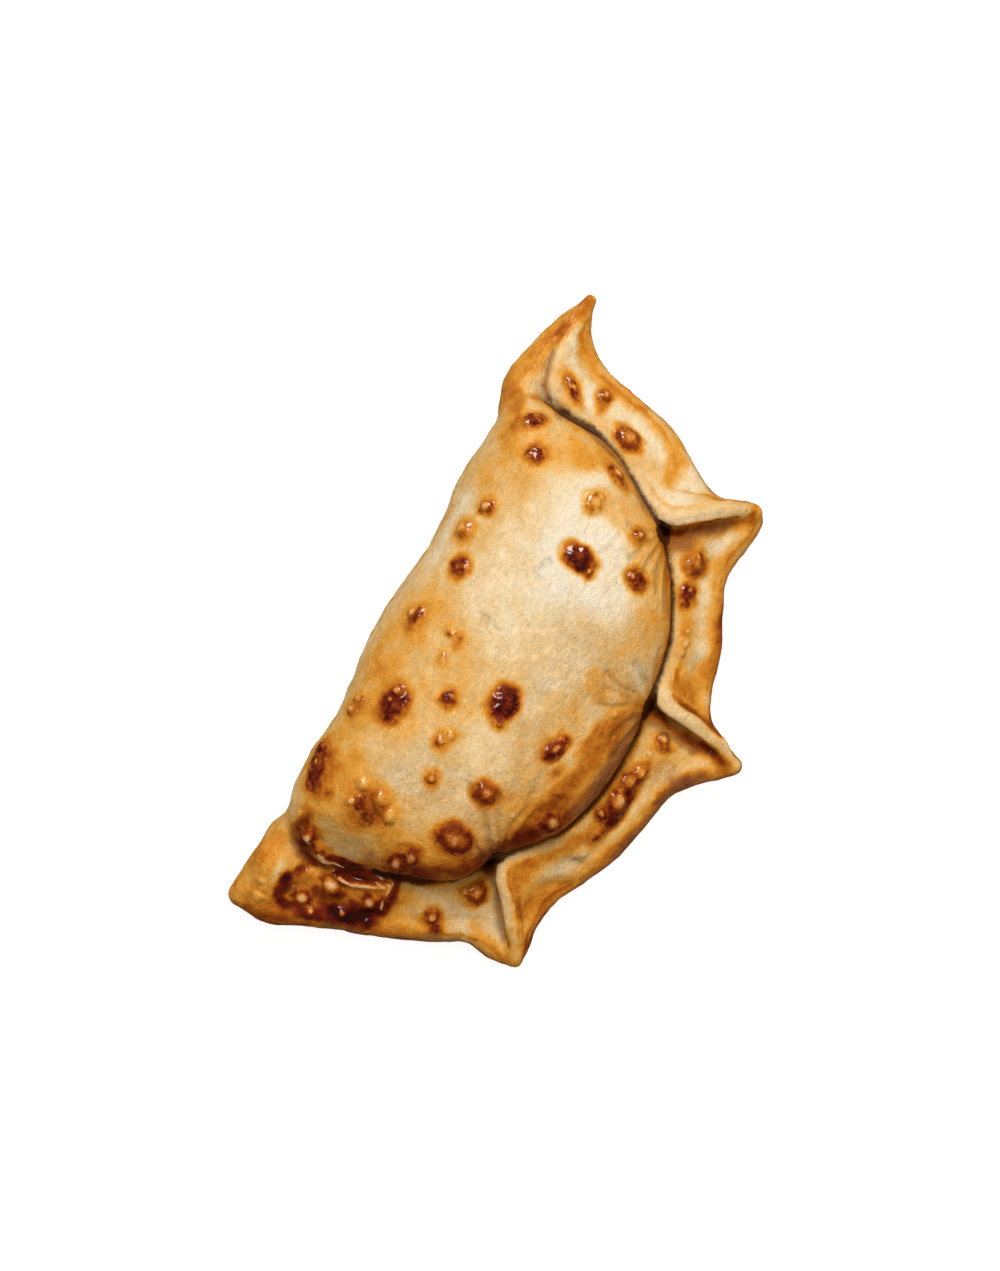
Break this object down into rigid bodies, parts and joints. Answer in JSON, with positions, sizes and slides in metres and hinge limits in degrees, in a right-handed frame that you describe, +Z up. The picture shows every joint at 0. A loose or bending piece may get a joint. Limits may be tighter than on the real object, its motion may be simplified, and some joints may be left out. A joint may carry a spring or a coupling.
{
  "type": "empanada",
  "caption": "Large baked turnover: a plump half-round pocket of dough with a hem folded in flat laps, thick lips, pointed corners and a long horn, lying flat side down.",
  "frame": {"origin": "centre of the bounding box in plan, on the flat base that rests on the plate", "axes": "+X along the plain fold, from the blunt corner to the long horn; +Y from the lapped hem to the plain fold; +Z up"},
  "size_m": [0.18, 0.1, 0.0378],
  "materials": {
    "crust": "egg-washed baked dough, pale on top, browned at the edges, with dark glossy blisters"
  },
  "bodies": {
    "root": {"baked_dough": "crust"}
  },
  "joints": []
}
